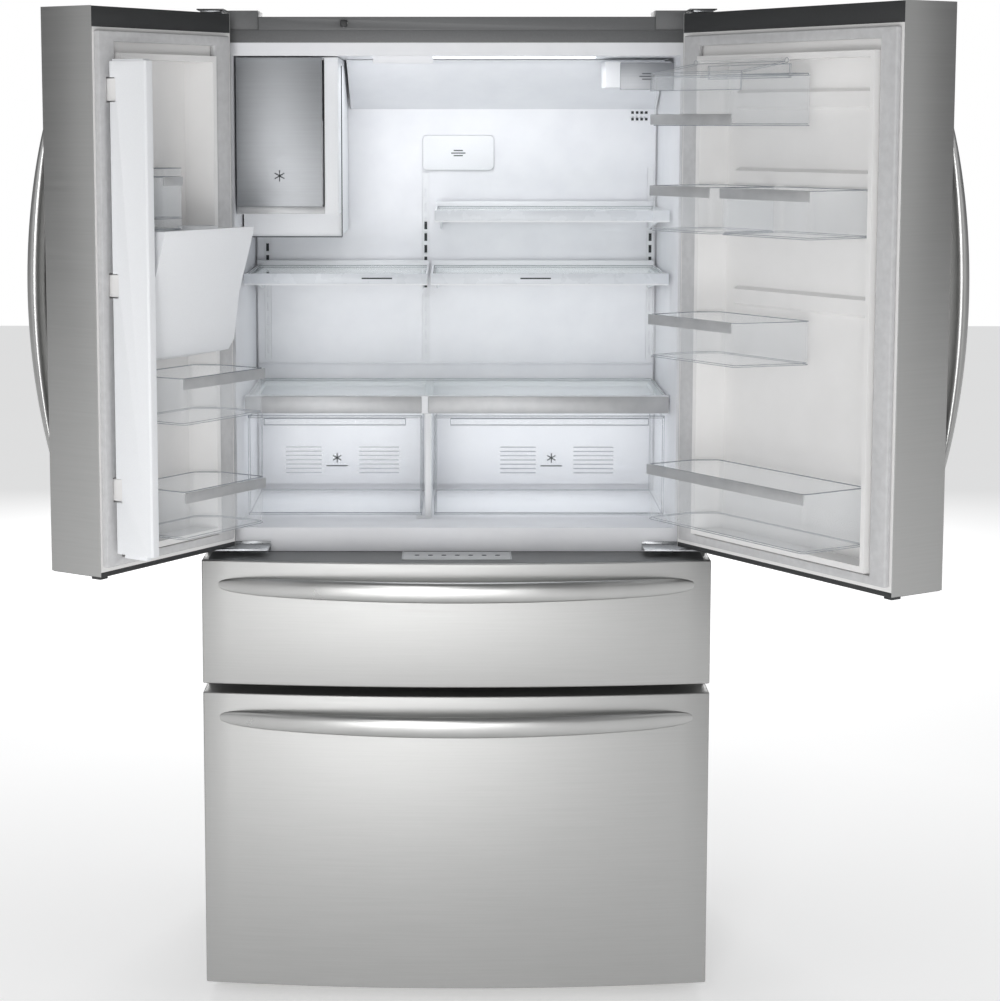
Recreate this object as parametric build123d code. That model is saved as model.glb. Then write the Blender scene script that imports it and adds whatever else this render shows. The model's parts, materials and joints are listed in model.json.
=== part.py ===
"""French door refrigerator: two unequal doors over a shallow drawer and a deep freezer drawer.

Millimetres, +Z up, X to the right, the front faces -Y.  The origin is on the floor, midway
between the sides, in the plane of the drawer fronts' outer corners.  The doors are built shut
and then swung open, which is how the appliance is at rest.
"""
from build123d import *
import math
import os

# ---- driving dimensions -------------------------------------------------------------------
WIDTH = 905.0                     # doors, drawers and case
HALF = WIDTH / 2
BOW = 33.0                        # how far the fronts bulge at the middle
BOW_RADIUS = (HALF ** 2 + BOW ** 2) / (2 * BOW)
DOOR_BACK = 79.0                  # inner face of doors and drawer fronts
CASE_FRONT = 91.0
CASE_BACK = 690.0
CASE_TOP = 1749.0
CASE_BOTTOM = 40.0
SHEET = 1.2                       # steel sheet
INSIDE = SHEET + 0.2              # where what fills a steel skin begins
CAP_INSET = SHEET + 1.8           # front of a door's end caps, behind the skin's face
WALL = 3.0                        # moulded liner wall
CLEAR = 2.5                       # clear plastic wall

DOOR_BOTTOM, DOOR_TOP = 834.7, 1775.6
CAP_BOTTOM, CAP_TOP = 842.0, 1741.5        # where the door's end caps meet its liner
LEFT_DOOR = (-HALF, -96.0)
RIGHT_DOOR = (-93.0, HALF)
HINGE_X, HINGE_Y = 434.0, 45.0
LEFT_OPEN, RIGHT_OPEN = 123.5, 123.1       # how far the doors stand open, in degrees
PIN_R, PIN_BORE_R = 4.5, 4.56
RECESS_FLOOR = 50.0               # bottom of the moulded recess inside each door
RIM_FACE = 97.0                   # crest of the moulded rim inside each door
RIM_Z = (868.0, 1700.0)           # that rim's lower and upper end
BIN_FRONT = 199.0                 # front of the door bins, door shut
BIN_SIDE = 387.0                  # hinge-side end of the door bins
BIN_BACK = 62.0                   # back of the door bins, clear of the liner's ledges
BIN_CORNER = 11.0                 # radius of the door bins' upright corners
GRIP = 18.0                       # half the width of every handle

MIDDLE = (591.9, 815.7)           # shallow drawer front, bottom and top
FREEZER = (38.0, 576.0)           # freezer drawer front, bottom and top
HANDLE_Z = (980.0, 1628.0)        # ends of the door handles
LEFT_HANDLE_X, RIGHT_HANDLE_X = -124.0, -65.0
MIDDLE_HANDLE_Z, FREEZER_HANDLE_Z = 772.0, 531.0
DRAWER_GRIP_X = 418.0             # half the length of the drawer handles
GRIP_FOOT = 34.0                  # length of a handle's foot on its front
GRIP_SINK = 4.0                   # how far a handle's foot is let into its front

ROOM_X = 396.0                    # half the fresh food room's width
ROOM_Z = (855.0, 1704.0)
ROOM_BACK = 540.0
FLANGE_X = 420.0
FLANGE_TOP = 1726.8
MULLION_BOTTOM = 815.0
SILL_TOP = 858.0
MIDDLE_ROOM = (625.0, 790.0)
FREEZER_ROOM = (100.0, 560.0)
MIDDLE_BACK = 560.0
FREEZER_BACK = 560.0
HUMP_Y, HUMP_Z = 480.0, 258.0     # the machine compartment steps into the freezer
LIP = 6.0                         # liner flange above and below a drawer's room
MOUTHS = ((MULLION_BOTTOM, FLANGE_TOP), (MIDDLE_ROOM[0] - LIP, MIDDLE_ROOM[1] + LIP),
          (FREEZER_ROOM[0] - LIP, FREEZER_ROOM[1] + LIP))
TUB_X = 372.0                     # half the width of the drawer tubs

SHELF_FRONT = 212.0
SHELF_BACK = 524.0
LOW_SHELF_Z, HIGH_SHELF_Z = 1309.0, 1425.0
CRISPER_COVER_Z = 1084.0
FOOT_X, FOOT_Y = 380.0, 130.0
ROLLER_X, ROLLER_Y, ROLLER_R = 380.0, 630.0, 20.0
AXLE_R, AXLE_BORE_R = 4.0, 4.06

COMPRESSOR = (-270.0, 600.0)
FAN_X, FAN_Y, FAN_Z, FAN_R = 215.0, 595.0, 140.0, 62.0
EVAP_FAN = (0.0, 486.0, 515.0)
EVAP_FAN_R = 34.0
SWITCH_X, SWITCH_Z = -199.0, 1760.0

DISPENSER_X = (-385.0, -185.0)
DISPENSER_Z = (1100.0, 1500.0)
CAVITY_X = (-372.0, -198.0)
CAVITY_Z = (1118.0, 1395.0)
PADDLE_X, PADDLE_Y, PADDLE_Z = -285.0, 58.0, 1336.0

FLIPPER_HINGE = (-126.5, 103.5)
FLIPPER_Z = (874.0, 1686.0)
FLIPPER_PIN_Z = (960.0, 1300.0, 1620.0)
FLIPPER_PIN_R, FLIPPER_BORE_R = 3.0, 3.06
LID_Y, LID_Z = 106.0, 1688.0      # axis of the dairy lid
SCREW_X, SCREW_Z = (-382.0, -352.0), 821.7
TOP_SCREW_X, TOP_SCREW_Y = -395.0, (122.0, 166.0)
VALVE_X, VALVE_Z, GLAND_X = 330.0, 150.0, 400.0
INLET_R, GLAND_R = 3.175, 4.5
SHELVES = (((-391, -53), LOW_SHELF_Z), ((-47, 391), LOW_SHELF_Z), ((-40, 391), HIGH_SHELF_Z))
HOUSING_X = (-383.0, -150.0)
LEFT_RIM = (-392.0, -144.0)
RIGHT_RIM = (-46.0, 392.0)
RIGHT_LEDGES = (1625.0, 1493.0, 1290.0)
LADDERS = ((-372, (1120, 1370)), (-59.5, (1120, 1488)), (383, (1120, 1500)))


# ---- small helpers ------------------------------------------------------------------------
def block(x, y, z):
    """A box between two values along each axis."""
    size = (x[1] - x[0], y[1] - y[0], z[1] - z[0])
    return Pos(x[0], y[0], z[0]) * Box(*size, align=(Align.MIN,) * 3)


def prism_z(points, z):
    """A plan outline raised from z[0] to z[1]."""
    outline = make_face(Polyline(*[(px, py, z[0]) for px, py in points], close=True))
    return extrude(outline, z[1] - z[0], dir=(0, 0, 1))


def prism_x(points, x):
    """A side outline of (y, z) points carried from x[0] to x[1]."""
    outline = make_face(Polyline(*[(x[0], py, pz) for py, pz in points], close=True))
    return extrude(outline, x[1] - x[0], dir=(1, 0, 0))


def rod(centre, radius, length, axis="Z"):
    """A cylinder that starts at centre and runs along +axis."""
    turn = {"X": Rot(0, 90, 0), "Y": Rot(-90, 0, 0), "Z": Rot(0, 0, 0)}[axis]
    ends = (Align.CENTER, Align.CENTER, Align.MIN)
    return Pos(*centre) * turn * Cylinder(radius, length, align=ends)


def bow_y(x, inset=0.0):
    """Front face of the fronts at x, moved in by inset."""
    return BOW_RADIUS - BOW - math.sqrt((BOW_RADIUS - inset) ** 2 - x ** 2)


def bowed(x, y_back, z, inset=0.0):
    """A slab whose front follows the common bow of the doors and drawers."""
    x0, x1 = x
    middle = (x0 + x1) / 2
    front = ThreePointArc((x0, bow_y(x0, inset), z[0]), (middle, bow_y(middle, inset), z[0]),
                          (x1, bow_y(x1, inset), z[0]))
    rest = Polyline((x1, bow_y(x1, inset), z[0]), (x1, y_back, z[0]), (x0, y_back, z[0]),
                    (x0, bow_y(x0, inset), z[0]))
    return extrude(make_face(front + rest), z[1] - z[0], dir=(0, 0, 1))


def ring(outer_x, outer_z, inner_x, inner_z, y):
    """A rectangular frame that lies in an upright plane."""
    hole = block(inner_x, (y[0] - 1, y[1] + 1), inner_z)
    return block(outer_x, y, outer_z) - hole


def tray(points, z, wall, corner=0.0):
    """An open-topped box with the given plan outline, its upright corners rounded to a radius."""
    plan = Sketch() + make_face(Polyline(*[(px, py) for px, py in points], close=True))
    if corner:
        plan = fillet(plan.vertices(), corner)
    outside = Pos(0, 0, z[0]) * extrude(plan, z[1] - z[0], dir=(0, 0, 1))
    inside = Pos(0, 0, z[0] + wall) * extrude(offset(plan, -wall), z[1] - z[0], dir=(0, 0, 1))
    return outside - inside


def group(*shapes):
    """Separate solids kept together in one node."""
    return Compound(children=[solid for shape in shapes for solid in shape.solids()])


def mirrored(shape):
    return mirror(shape, about=Plane.YZ)


def swing(side, shape):
    """Carries a shape built on a shut door to where the open door holds it."""
    angle = -LEFT_OPEN if side == "left" else RIGHT_OPEN
    x = -HINGE_X if side == "left" else HINGE_X
    return Pos(x, HINGE_Y, 0) * Rot(0, 0, angle) * Pos(-x, -HINGE_Y, 0) * shape


# ---- the case -----------------------------------------------------------------------------
def case_shell():
    outside = block((-HALF, HALF), (CASE_FRONT, CASE_BACK), (CASE_BOTTOM, CASE_TOP))
    inside = block((SHEET - HALF, HALF - SHEET), (CASE_FRONT + SHEET, CASE_BACK + 1),
                   (CASE_BOTTOM - 1, CASE_TOP - SHEET))
    shell = outside - inside
    for z in MOUTHS:
        shell -= block((-FLANGE_X, FLANGE_X), (CASE_FRONT - 1, CASE_FRONT + 2), z)
    return shell


def case_back():
    inner = HALF - SHEET
    return block((-inner, inner), (CASE_BACK - SHEET, CASE_BACK), (HUMP_Z, CASE_TOP - SHEET))


def liner_flange(z_outer, z_inner):
    """The part of a liner that shows around its room's mouth."""
    return ring((-FLANGE_X, FLANGE_X), z_outer, (-ROOM_X, ROOM_X), z_inner,
                (CASE_FRONT, CASE_FRONT + WALL))


def fresh_food_liner():
    outside = block((-ROOM_X - WALL, ROOM_X + WALL), (CASE_FRONT, ROOM_BACK + WALL),
                    (ROOM_Z[0] - WALL, ROOM_Z[1] + WALL))
    inside = block((-ROOM_X, ROOM_X), (CASE_FRONT - 1, ROOM_BACK), ROOM_Z)
    sill = block((-ROOM_X, ROOM_X), (CASE_FRONT, CASE_FRONT + 16), (ROOM_Z[0], SILL_TOP))
    guide = block((-148, -42), (100, 124), (1691, ROOM_Z[1]))
    guide -= block((-138, -60), (106, 114), (1690, 1698))
    flange = liner_flange((MULLION_BOTTOM, FLANGE_TOP), ROOM_Z)
    return outside - inside + flange + sill + guide


def drawer_liners():
    liners = []
    for z, back in ((MIDDLE_ROOM, MIDDLE_BACK), (FREEZER_ROOM, FREEZER_BACK)):
        outside = block((-ROOM_X - WALL, ROOM_X + WALL), (CASE_FRONT, back + WALL),
                        (z[0] - WALL, z[1] + WALL))
        inside = block((-ROOM_X, ROOM_X), (CASE_FRONT - 1, back), z)
        liners.append(outside - inside + liner_flange((z[0] - LIP, z[1] + LIP), z))
    hump = block((-ROOM_X - WALL - 1, ROOM_X + WALL + 1), (HUMP_Y, FREEZER_BACK + WALL + 1),
                 (FREEZER_ROOM[0] - WALL - 1, HUMP_Z))
    riser = block((-ROOM_X - WALL, ROOM_X + WALL), (HUMP_Y - WALL, HUMP_Y),
                  (FREEZER_ROOM[0] - WALL, HUMP_Z + WALL))
    step = block((-ROOM_X - WALL, ROOM_X + WALL), (HUMP_Y - WALL, FREEZER_BACK + WALL),
                 (HUMP_Z, HUMP_Z + WALL))
    liners[1] = liners[1] - hump + riser + step
    return group(*liners)


def foam_insulation():
    inner = HALF - SHEET
    foam = block((-inner, inner), (CASE_FRONT + SHEET, CASE_BACK - SHEET),
                 (62, CASE_TOP - SHEET))
    foam -= block((-ROOM_X - WALL, ROOM_X + WALL), (CASE_FRONT, ROOM_BACK + WALL),
                  (ROOM_Z[0] - WALL, ROOM_Z[1] + WALL))
    for z, back in ((MIDDLE_ROOM, MIDDLE_BACK), (FREEZER_ROOM, FREEZER_BACK)):
        foam -= block((-ROOM_X - WALL, ROOM_X + WALL), (CASE_FRONT, back + WALL),
                      (z[0] - WALL, z[1] + WALL))
    foam += block((-ROOM_X - WALL, ROOM_X + WALL), (HUMP_Y, FREEZER_BACK + WALL),
                  (HUMP_Z - 30, HUMP_Z))
    foam += block((-ROOM_X - WALL, ROOM_X + WALL), (HUMP_Y, HUMP_Y + 20),
                  (FREEZER_ROOM[0] - WALL, HUMP_Z))
    foam -= block((-inner, inner), (HUMP_Y + 20, CASE_BACK), (61, HUMP_Z - 30))
    for z in MOUTHS:
        foam -= block((-FLANGE_X, FLANGE_X), (CASE_FRONT, CASE_FRONT + WALL), z)
    return foam


def top_cover():
    """The dark strip over the case's front edge, and the two hinge covers."""
    strip = block((-350, 350), (CASE_FRONT, 190), (CASE_TOP, 1772))
    strip -= block((-347, 347), (CASE_FRONT + 2.5, 191), (CASE_TOP - 1, 1769.5))
    strip -= rod((SWITCH_X, CASE_FRONT - 1, SWITCH_Z), 6.3, 5, "Y")
    cover = block((-452, -351), (94, 190), (CASE_TOP, 1783))
    cover += block((-452, -405), (26, 95), (1781, 1783))
    cover -= block((-449, -354), (97, 191), (CASE_TOP - 1, 1781))
    cover -= block((-449, -405), (93, 98), (1777, 1781))
    return group(strip, cover, mirrored(cover))


def hinge_brackets():
    """Top and bottom door hinges: pressed steel arms with riveted pins."""
    top = block((-446, -376), (104, 184), (CASE_TOP, CASE_TOP + 3))
    top += block((-446, -412), (101, 104), (CASE_TOP, 1780.5))
    top += block((-446, -412), (30, 104), (1777.5, 1780.5))
    top += rod((-HINGE_X, HINGE_Y, 1762), PIN_R, 16)
    low = block((-400, -336), (CASE_FRONT - 3, CASE_FRONT), (817.5, 833.5))
    low += block((-446, -336), (30, CASE_FRONT), (826, 829))
    low += rod((-HINGE_X, HINGE_Y, 829), PIN_R, 20)
    low += rod((-HINGE_X, HINGE_Y, 829), 9, 4.2)
    for x in SCREW_X:
        low -= rod((x, CASE_FRONT - 4, SCREW_Z), 2.5, 5, "Y")
    for y in TOP_SCREW_Y:
        top -= rod((TOP_SCREW_X, y, CASE_TOP - 1), 2.5, 5)
    return group(top, mirrored(top), low, mirrored(low))


def hinge_screws():
    screws = []
    for x in SCREW_X:
        screw = rod((x, CASE_FRONT - 5.4, SCREW_Z), 4.0, 2.4, "Y")
        screw += rod((x, CASE_FRONT - 3, SCREW_Z), 2.4, 3, "Y")
        screws += [screw, mirrored(screw)]
    for y in TOP_SCREW_Y:
        screw = rod((TOP_SCREW_X, y, CASE_TOP + 3), 5.0, 3)
        screw += rod((TOP_SCREW_X, y, CASE_TOP), 2.4, 3)
        screws += [screw, mirrored(screw)]
    return group(*screws)


def base_frame():
    frame = block((-450, -404), (96, 688), (22, 60)) - block((-447, -407), (99, 685), (21, 57))
    frame += mirrored(frame)
    frame += block((-405, 405), (96, 140), (44, 47))
    frame += block((-405, 405), (505, 686), (44, 47))
    for x in (-FOOT_X, FOOT_X):
        frame -= rod((x, FOOT_Y, 43), 6.0, 5)
    for side in (-1, 1):
        x0, x1 = sorted((side * 390, side * 407))
        frame -= block((x0 - 1, x1 + 1), (ROLLER_Y - 26, ROLLER_Y + 26), (20, 57))
        x2, x3 = sorted((side * (ROLLER_X - 16), side * (ROLLER_X - 13)))
        frame += block((x2, x3), (ROLLER_Y - 12, ROLLER_Y + 12), (12, 44))
        x4, x5 = sorted((side * (ROLLER_X + 13), side * (ROLLER_X + 16)))
        frame += block((x4, x5), (ROLLER_Y - 12, ROLLER_Y + 12), (12, 44))
        frame -= block((-450, 450), (ROLLER_Y - 22, ROLLER_Y + 22), (44, 47)).intersect(
            block((ROLLER_X * side - 11, ROLLER_X * side + 11), (600, 660), (43, 48)))
        frame += rod((side * ROLLER_X - 15, ROLLER_Y, ROLLER_R), AXLE_R, 30, "X")
    return frame


def toe_grille():
    grille = block((-440, 440), (84, 96), (10, 34))
    for i in range(20):
        x = -420 + i * 42.6
        grille -= block((x, x + 30), (83, 97), (17, 27))
    return grille


def levelling_legs():
    legs = []
    for x in (-FOOT_X, FOOT_X):
        leg = rod((x, FOOT_Y, 0), 17, 8) + rod((x, FOOT_Y, 8), 10, 5)
        leg += rod((x, FOOT_Y, 13), 6.0, 44)
        legs.append(leg)
    return group(*legs)


def roller(side):
    x = side * ROLLER_X
    wheel = rod((x - 9, ROLLER_Y, ROLLER_R), ROLLER_R, 18, "X")
    return wheel - rod((x - 10, ROLLER_Y, ROLLER_R), AXLE_BORE_R, 20, "X")


# ---- machinery ----------------------------------------------------------------------------
def compressor():
    x, y = COMPRESSOR
    can = rod((x, y, 66), 74, 96)
    can += Pos(x, y, 162) * (Sphere(74) & block((-90, 90), (-90, 90), (0, 40)))
    can += rod((x, y, 110), 77, 6)
    can += block((x - 95, x + 95), (y - 60, y + 60), (60, 66))
    for dx in (-80, 80):
        for dy in (-48, 48):
            can += rod((x + dx, y + dy, 47), 9, 14)
    can += rod((x + 60, y, 130), 4, 60, "X")
    return can


def condenser():
    fins = None
    for i in range(13):
        x = -120 + i * 18
        fin = block((x, x + 1.5), (545, 665), (60, 210))
        fins = fin if fins is None else fins + fin
    for row in range(3):
        for level in range(5):
            fins += rod((-130, 565 + row * 40, 75 + level * 30), 3.5, 245, "X")
    fins += block((-130, -127), (545, 665), (47, 214))
    fins += block((112, 115), (545, 665), (47, 214))
    return fins


def fan_shroud():
    plate = block((FAN_X - 40, FAN_X - 37), (515, 675), (47, 222))
    plate -= rod((FAN_X - 41, FAN_Y, FAN_Z), FAN_R + 6, 6, "X")
    plate += rod((FAN_X + 20, FAN_Y, FAN_Z), 24, 40, "X")
    plate += rod((FAN_X - 6, FAN_Y, FAN_Z), AXLE_R, 27, "X")
    for dy in (-56, 50):
        plate += block((FAN_X - 38, FAN_X + 58), (FAN_Y + dy, FAN_Y + dy + 6), (FAN_Z + 60, FAN_Z + 66))
    plate += block((FAN_X + 52, FAN_X + 58), (FAN_Y - 56, FAN_Y + 56), (FAN_Z - 6, FAN_Z + 66))
    return plate


def fan(radius, blades, hub, bore):
    """An axial fan lying in the XY plane, its shaft along Z."""
    rotor = Cylinder(hub, 14)
    for i in range(blades):
        blade = Pos(radius / 2 + 1, 0, 0) * Rot(28, 0, 0) * Box(radius - 4, radius * 0.55, 1.6)
        rotor += Rot(0, 0, i * 360 / blades) * blade
    rotor = rotor & Cylinder(radius, 60)
    return rotor - Cylinder(bore, 40)


def condenser_fan():
    return Pos(FAN_X, FAN_Y, FAN_Z) * Rot(0, 90, 0) * fan(FAN_R, 5, 16, AXLE_BORE_R)


def machine_cover():
    cover = block((-449, 449), (CASE_BACK - SHEET, CASE_BACK), (64, HUMP_Z - 2))
    for row in range(6):
        for i in range(9):
            x = -400 + i * 62
            cover -= block((x, x + 48), (CASE_BACK - 3, CASE_BACK + 1),
                           (100 + row * 20, 106 + row * 20))
    cover -= rod((VALVE_X, CASE_BACK - 3, VALVE_Z), 14, 5, "Y")
    cover -= rod((GLAND_X, CASE_BACK - 3, VALVE_Z), 8, 5, "Y")
    return cover


def water_valve():
    valve = block((VALVE_X - 30, VALVE_X + 30), (640, 676), (VALVE_Z - 22, VALVE_Z + 22))
    valve += block((VALVE_X - 24, VALVE_X - 4), (600, 640), (VALVE_Z - 14, VALVE_Z + 14))
    valve += block((VALVE_X + 4, VALVE_X + 24), (600, 640), (VALVE_Z - 14, VALVE_Z + 14))
    valve += rod((VALVE_X, 676, VALVE_Z), 9, 14, "Y")
    valve += rod((VALVE_X, 690, VALVE_Z), INLET_R, 22, "Y")
    return valve


def cord_gland():
    gland = rod((GLAND_X, CASE_BACK - 8, VALVE_Z), 8, 22, "Y")
    gland += rod((GLAND_X, CASE_BACK, VALVE_Z), 11, 3, "Y")
    return gland - rod((GLAND_X, CASE_BACK - 9, VALVE_Z), GLAND_R, 24, "Y")


def evaporator():
    coil = None
    for i in range(24):
        x = -276 + i * 24
        fin = block((x, x + 1.2), (508, 550), (285, 470))
        coil = fin if coil is None else coil + fin
    for row in range(2):
        for level in range(6):
            coil += rod((-290, 519 + row * 20, 300 + level * 31), 4, 580, "X")
    for x in (-290, 287):
        coil += block((x, x + 3), (508, 550), (270, 480))
    return coil


def evaporator_cover():
    x, _, z = EVAP_FAN
    cover = block((-392, 392), (466, 469), (264, 556))
    cover -= rod((x, 465, z), EVAP_FAN_R + 3, 6, "Y")
    for i in range(12):
        for level in (290, 310, 330):
            left = -350 + i * 60
            cover -= block((left, left + 40), (465, 470), (level, level + 7))
    cover += rod((x, 495, z), 15, 20, "Y") + rod((x, 480, z), AXLE_R, 16, "Y")
    for dx in (-45, 39):
        cover += block((x + dx, x + dx + 6), (467, 510), (z - 5, z + 5))
    cover += block((x - 45, x + 45), (507, 512), (z - 5, z + 5))
    return cover


def evaporator_fan():
    return Pos(*EVAP_FAN) * Rot(90, 0, 0) * fan(EVAP_FAN_R, 5, 9, AXLE_BORE_R)


# ---- inside the fresh food room -----------------------------------------------------------
def air_duct_panel():
    """Back panel with its vents, and the sloping duct under the ceiling."""
    panel = block((-392, 392), (530, ROOM_BACK), (870, ROOM_Z[1] - 1))
    panel += prism_x([(340, 1703), (531, 1703), (531, 1612)], (-206, 392))
    for column in range(4):
        for row in range(2):
            x, z = 345 + column * 8, 1594 + row * 9
            panel -= block((x, x + 3.5), (529, 535), (z, z + 4.5))
    for x, _ in LADDERS:
        panel -= block((x - 6.5, x + 6.5), (529, 533), (1120, 1500))
    return panel - block((-66, 75), (529, 532), (1493, 1562))


def shelf_ladders():
    ladders = []
    for x, z in LADDERS:
        ladder = block((x - 6, x + 6), (530, 532.5), z)
        for i in range(int((z[1] - z[0] - 20) / 28)):
            slot = z[0] + 12 + i * 28
            ladder -= block((x - 1.8, x + 1.8), (529, 533), (slot, slot + 17))
        ladders.append(ladder)
    return group(*ladders)


def shelf_frames():
    frames = []
    for (x0, x1), top in SHELVES:
        frame = block((x0, x1), (SHELF_FRONT, SHELF_BACK), (top - 14, top - 2))
        frame += block((x0, x1), (SHELF_FRONT, SHELF_FRONT + 12), (top - 20, top))
        frame += block((x0, x1), (SHELF_BACK - 12, SHELF_BACK), (top - 14, top + 8))
        frame -= block((x0 + 12, x1 - 12), (SHELF_FRONT + 20, SHELF_BACK - 20), (top - 30, top + 9))
        frame -= block((x0 + 4, x1 - 4), (SHELF_FRONT + 12, SHELF_BACK - 12), (top - 6, top + 9))
        for x in (x0 + 10, x1 - 13):
            arm = [(SHELF_FRONT + 30, top - 14), (529, top - 14), (529, top - 46), (500, top - 46)]
            frame += prism_x(arm, (x, x + 3))
        frames.append(frame)
    return group(*frames)


def shelf_glass():
    panes = [block((x0 + 4.5, x1 - 4.5), (SHELF_FRONT + 12.5, SHELF_BACK - 12.5), (top - 6, top - 1.8))
             for (x0, x1), top in SHELVES]
    panes.append(block((-386, 388), (SHELF_FRONT + 14.5, 520), (CRISPER_COVER_Z - 6, CRISPER_COVER_Z - 1.8)))
    return group(*panes)


def crisper_frame():
    """The rail over the crispers, its glass ledges, and the post between them."""
    top = CRISPER_COVER_Z
    frame = block((-392, 394), (SHELF_FRONT, SHELF_FRONT + 14), (1051, top))
    frame += block((-392, -376), (SHELF_FRONT, 524), (top - 16, top - 6))
    frame += block((378, 394), (SHELF_FRONT, 524), (top - 16, top - 6))
    frame += block((-392, 394), (508, 524), (top - 16, top - 6))
    frame += block((-60, -44), (SHELF_FRONT, 524), (top - 16, top - 6))
    frame += block((-58, -46), (SHELF_FRONT + 2, 522), (ROOM_Z[0], top - 6))
    frame += block((-74, -46), (SHELF_FRONT - 6, SHELF_FRONT + 20), (ROOM_Z[0], ROOM_Z[0] + 1.8))
    return frame


def crisper(x0, x1):
    plan = [(x0, 218), (x1, 218), (x1, 505), (x0, 505)]
    box = tray(plan, (860, 1042), CLEAR)
    box += block((x0, x1), (214, 220), (864, 1046))
    box += block((x0 + 30, x1 - 30), (206, 216), (1030, 1042))
    return box


def ice_maker_box():
    box = block((-393, -212), (124, 528), (1423, 1702))
    box += block((-393, -212), (250, 528), (1378, 1424))
    box -= block((-388, -236), (123, 500), (1436, 1697))
    return box


def ice_mould():
    mould = block((-380, -250), (330, 480), (1610, 1660))
    mould += block((-340, -290), (302, 332), (1600, 1690))
    for i in range(6):
        mould -= block((-372 + i * 20, -356 + i * 20), (345, 465), (1632, 1661))
    return mould


def ice_bin():
    """The slide-out bucket with its steel-faced front."""
    bucket = tray([(-386, 122), (-239, 122), (-239, 470), (-386, 470)], (1440, 1590), WALL)
    front = block((-392, -240), (110, 123), (1438, 1694))
    front = fillet(front.edges().filter_by(Axis.Y), 9)
    return bucket + front


def water_filter():
    body = block((272, 391), (220, 334), (1650, 1697))
    plate = block((300, 391), (212, 220), (1646, 1696))
    return body + plate


def air_filter_cover():
    cover = block((-65.5, 74.5), (524, 532), (1493.5, 1561.5))
    return fillet(cover.edges().filter_by(Axis.Y), 10)


def drawer_rails():
    rails = []
    for z, y1 in (((700, 718), 540), ((360, 378), 450)):
        rail = block((-395.5, -386), (CASE_FRONT + 6, y1), z)
        rail -= block((-391, -385), (CASE_FRONT + 5, y1 + 1), (z[0] + 4, z[1] - 4))
        rails += [rail, mirrored(rail)]
    return group(*rails)


def door_switch():
    return rod((SWITCH_X, CASE_FRONT - 9, SWITCH_Z), 5.9, 16, "Y")


# ---- doors --------------------------------------------------------------------------------
def door_panel(x, dispenser=False):
    """The folded steel skin: bowed front and two sides."""
    x0, x1 = x
    z = (DOOR_BOTTOM, DOOR_TOP)
    skin = bowed(x, DOOR_BACK, z)
    skin -= bowed((x0 + SHEET, x1 - SHEET), DOOR_BACK + 1, (z[0] - 1, z[1] + 1), SHEET)
    if dispenser:
        skin -= block(DISPENSER_X, (-60, 5), DISPENSER_Z)
    return skin


def door_caps(side, x):
    """Moulded end caps that close the skin's top and bottom and carry the hinge bores."""
    x0, x1 = x[0] + INSIDE, x[1] - INSIDE
    hinge = -HINGE_X if side == "left" else HINGE_X
    latch = x1 - 26 if side == "left" else x0 + 8
    top = bowed((x0, x1), DOOR_BACK, (CAP_TOP, DOOR_TOP - 0.6), CAP_INSET)
    top -= rod((hinge, HINGE_Y, 1758), PIN_BORE_R, 20)
    low = bowed((x0, x1), DOOR_BACK, (DOOR_BOTTOM - 1, CAP_BOTTOM), CAP_INSET)
    low -= rod((hinge, HINGE_Y, DOOR_BOTTOM - 2), PIN_BORE_R, CAP_BOTTOM)
    low += block((latch, latch + 18), (50, 70), (DOOR_BOTTOM - 7, DOOR_BOTTOM))
    return group(top, low)


def door_liner(side, x, rim_x, ledges, dispenser=False):
    """The white inner moulding with its foam: flat border, raised rim, deep recess, ledges."""
    x0, x1 = x[0] + INSIDE, x[1] - INSIDE
    hinge = -HINGE_X if side == "left" else HINGE_X
    body = bowed((x0, x1), DOOR_BACK, (CAP_BOTTOM, CAP_TOP), INSIDE)
    body -= rod((hinge, HINGE_Y, CAP_BOTTOM - 1), PIN_BORE_R, 10)
    r0, r1 = rim_x
    bottom, top = RIM_Z
    body += prism_z([(r0 - 2, DOOR_BACK - 1), (r1 + 2, DOOR_BACK - 1), (r1, RIM_FACE), (r0, RIM_FACE)],
                    (bottom, top))
    recess = prism_z([(r0 + 30, RECESS_FLOOR), (r1 - 30, RECESS_FLOOR), (r1 - 9, RIM_FACE + 1),
                      (r0 + 9, RIM_FACE + 1)], (bottom + 10, top - 10))
    if side == "left":
        recess = prism_z([(r0 + 30, RECESS_FLOOR), (r1 - 12, RECESS_FLOOR), (r1 - 7, RIM_FACE + 1),
                          (r0 + 9, RIM_FACE + 1)], (bottom + 10, top - 10))
    body -= recess
    for z in ledges:
        ledge = [(RECESS_FLOOR - 1, z - 18), (RECESS_FLOOR + 9, z - 12), (RECESS_FLOOR + 9, z + 12),
                 (RECESS_FLOOR - 1, z + 18)]
        body += prism_x(ledge, (r0 + 31, r1 - 60))
    if dispenser:
        body -= dispenser_space()
        body -= housing_block()
    return body


def door_gasket(x, rim_x):
    outer = (max(x[0] + 6, -438), min(x[1] - 6, 438))
    inner = (rim_x[0] - 4, rim_x[1] + 4)
    return ring(outer, (850, 1736), inner, (864, 1718), (DOOR_BACK, CASE_FRONT - 1.2))


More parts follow.
